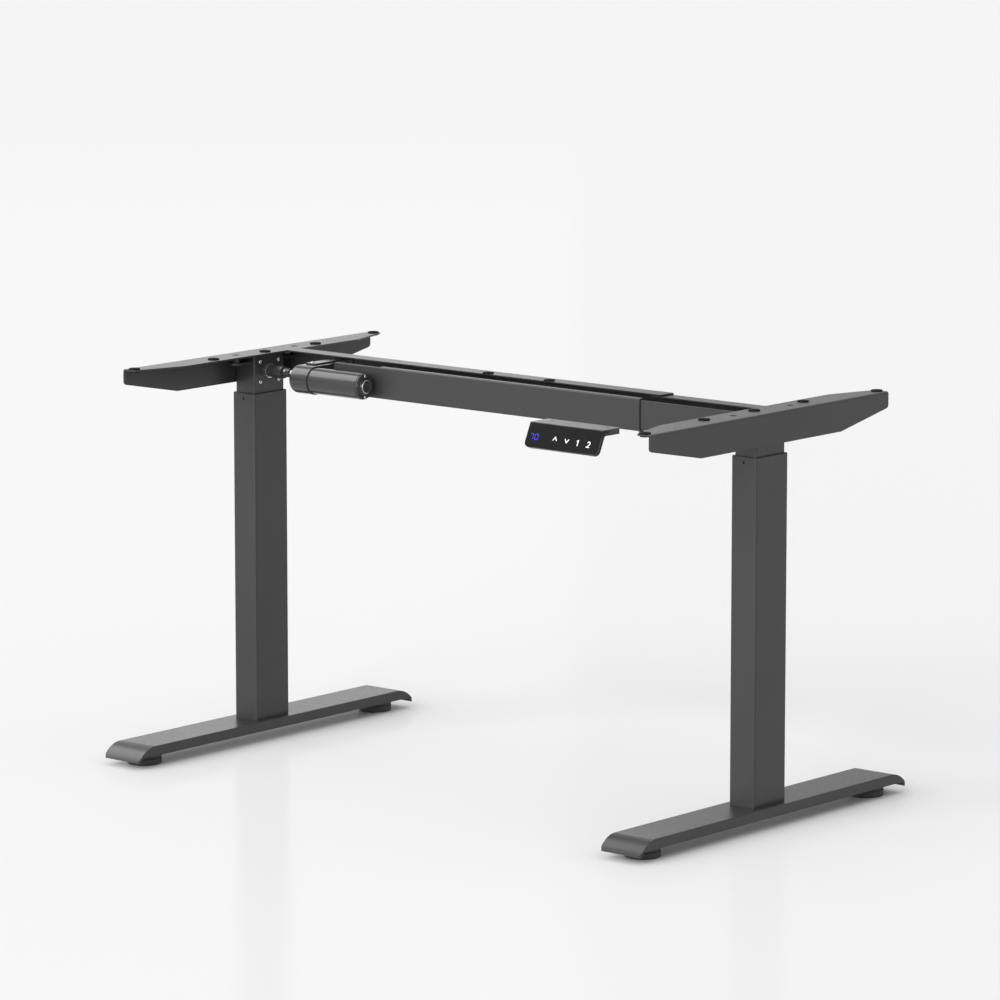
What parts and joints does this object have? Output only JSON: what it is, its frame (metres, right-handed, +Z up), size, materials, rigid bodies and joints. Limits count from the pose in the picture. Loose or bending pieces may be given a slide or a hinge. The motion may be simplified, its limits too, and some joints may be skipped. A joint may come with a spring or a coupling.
{
  "type": "standing desk frame",
  "caption": "Height-adjustable desk frame: telescopic columns on flat feet, a telescopic cross beam, side brackets, geared motor with cross shaft, and a control handset.",
  "frame": {"origin": "on the floor, midway between the two columns", "axes": "+X along the beam towards the handset's side, +Y away from the user, +Z up"},
  "size_m": [1.211, 0.7292, 0.702],
  "materials": {
    "frame_paint": "fine textured powder coat, satin",
    "bush_plastic": "moulded acetal, matt",
    "rubber": "matt black rubber",
    "zinc_steel": "bright zinc plated",
    "gear_steel": "machined and oiled",
    "casting": "die cast",
    "nut_bronze": "turned bronze",
    "case_plastic": "moulded housing, satin",
    "panel_gloss": "gloss acrylic panel"
  },
  "bodies": {
    "left_base": {"left_foot": "frame_paint", "left_outer_tube": "frame_paint", "left_foot_bolts": "zinc_steel", "left_glide_bush": "bush_plastic", "left_nut_tube": "zinc_steel", "left_screw_nut": "nut_bronze"},
    "left_front_pad": {"left_front_pad": "rubber"},
    "left_rear_pad": {"left_rear_pad": "rubber"},
    "left_head": {"left_inner_tube": "frame_paint", "left_lower_glide": "bush_plastic", "left_gear_block": "casting", "left_drive_bearing": "zinc_steel", "left_gear_block_screws": "zinc_steel", "left_ears": "frame_paint", "left_bracket": "frame_paint", "left_bracket_screws": "zinc_steel", "left_grommets": "rubber", "beam_outer": "frame_paint", "beam_clamp_bolts": "zinc_steel", "gearbox_case": "frame_paint", "motor_can": "frame_paint", "motor_end_cap": "zinc_steel", "motor_screws": "zinc_steel", "motor_strap": "zinc_steel"},
    "left_shaft": {"left_drive_pinion": "gear_steel", "left_coupling": "frame_paint", "hex_shaft": "zinc_steel", "output_gear": "gear_steel"},
    "left_screw": {"left_lead_screw": "gear_steel", "left_bevel_wheel": "gear_steel"},
    "motor_rotor": {"motor_pinion": "gear_steel"},
    "right_head": {"right_inner_tube": "frame_paint", "right_lower_glide": "bush_plastic", "right_gear_block": "casting", "right_drive_bearing": "zinc_steel", "right_gear_block_screws": "zinc_steel", "right_ears": "frame_paint", "right_bracket": "frame_paint", "right_bracket_screws": "zinc_steel", "right_grommets": "rubber", "beam_inner": "frame_paint", "handset_case": "case_plastic", "handset_panel": "panel_gloss"},
    "right_shaft": {"right_drive_pinion": "gear_steel", "right_coupling": "frame_paint", "hex_tube": "zinc_steel"},
    "right_screw": {"right_lead_screw": "gear_steel", "right_bevel_wheel": "gear_steel"},
    "right_base": {"right_foot": "frame_paint", "right_outer_tube": "frame_paint", "right_foot_bolts": "zinc_steel", "right_glide_bush": "bush_plastic", "right_nut_tube": "zinc_steel", "right_screw_nut": "nut_bronze"},
    "right_front_pad": {"right_front_pad": "rubber"},
    "right_rear_pad": {"right_rear_pad": "rubber"},
    "key_up": {"key_up": "panel_gloss"},
    "key_down": {"key_down": "panel_gloss"},
    "key_one": {"key_one": "panel_gloss"},
    "key_two": {"key_two": "panel_gloss"}
  },
  "joints": [
    {"name": "lift", "type": "slide", "parent": "left_base", "child": "left_head", "axis": [0, 0, 1], "range_m": [0, 0.48]},
    {"name": "width", "type": "slide", "parent": "left_head", "child": "right_head", "axis": [1, 0, 0], "range_m": [-0.15, 0.3]},
    {"name": "right_lift", "type": "slide", "parent": "right_head", "child": "right_base", "axis": [0, 0, -1], "range_m": [0, 0.48]},
    {"name": "left_shaft_turn", "type": "hinge", "parent": "left_head", "child": "left_shaft", "pos_m": [-0.563, 0, 0.667], "axis": [1, 0, 0], "range_deg": [0, 21601]},
    {"name": "left_screw_turn", "type": "hinge", "parent": "left_head", "child": "left_screw", "pos_m": [-0.563, 0, 0.667], "axis": [0, 0, 1], "range_deg": [0, 21601]},
    {"name": "motor_turn", "type": "hinge", "parent": "left_head", "child": "motor_rotor", "pos_m": [-0.43, -0.042, 0.667], "axis": [1, 0, 0], "range_deg": [-21601, 0]},
    {"name": "right_shaft_turn", "type": "hinge", "parent": "right_head", "child": "right_shaft", "pos_m": [0.563, 0, 0.667], "axis": [1, 0, 0], "range_deg": [0, 21601]},
    {"name": "right_screw_turn", "type": "hinge", "parent": "right_head", "child": "right_screw", "pos_m": [0.563, 0, 0.667], "axis": [0, 0, 1], "range_deg": [-21601, 0]},
    {"name": "left_front_levelling", "type": "slide", "parent": "left_base", "child": "left_front_pad", "axis": [0, 0, 1], "range_m": [-0.008, 0]},
    {"name": "left_rear_levelling", "type": "slide", "parent": "left_base", "child": "left_rear_pad", "axis": [0, 0, 1], "range_m": [-0.008, 0]},
    {"name": "right_front_levelling", "type": "slide", "parent": "right_base", "child": "right_front_pad", "axis": [0, 0, 1], "range_m": [-0.008, 0]},
    {"name": "right_rear_levelling", "type": "slide", "parent": "right_base", "child": "right_rear_pad", "axis": [0, 0, 1], "range_m": [-0.008, 0]},
    {"name": "key_up_press", "type": "slide", "parent": "right_head", "child": "key_up", "axis": [0, 0.9063, -0.4226], "range_m": [0, 0.0006], "stiffness_N_per_m": 400, "springref_m": -0.0005},
    {"name": "key_down_press", "type": "slide", "parent": "right_head", "child": "key_down", "axis": [0, 0.9063, -0.4226], "range_m": [0, 0.0006], "stiffness_N_per_m": 400, "springref_m": -0.0005},
    {"name": "key_one_press", "type": "slide", "parent": "right_head", "child": "key_one", "axis": [0, 0.9063, -0.4226], "range_m": [0, 0.0006], "stiffness_N_per_m": 400, "springref_m": -0.0005},
    {"name": "key_two_press", "type": "slide", "parent": "right_head", "child": "key_two", "axis": [0, 0.9063, -0.4226], "range_m": [0, 0.0006], "stiffness_N_per_m": 400, "springref_m": -0.0005}
  ],
  "couplings": [
    {"joint": "right_lift", "follows": "lift", "ratio": 1},
    {"joint": "left_shaft_turn", "follows": "lift", "rad_per_m": 785.4},
    {"joint": "left_screw_turn", "follows": "lift", "rad_per_m": 785.4},
    {"joint": "motor_turn", "follows": "lift", "rad_per_m": -785.4},
    {"joint": "right_shaft_turn", "follows": "lift", "rad_per_m": 785.4},
    {"joint": "right_screw_turn", "follows": "lift", "rad_per_m": -785.4}
  ]
}
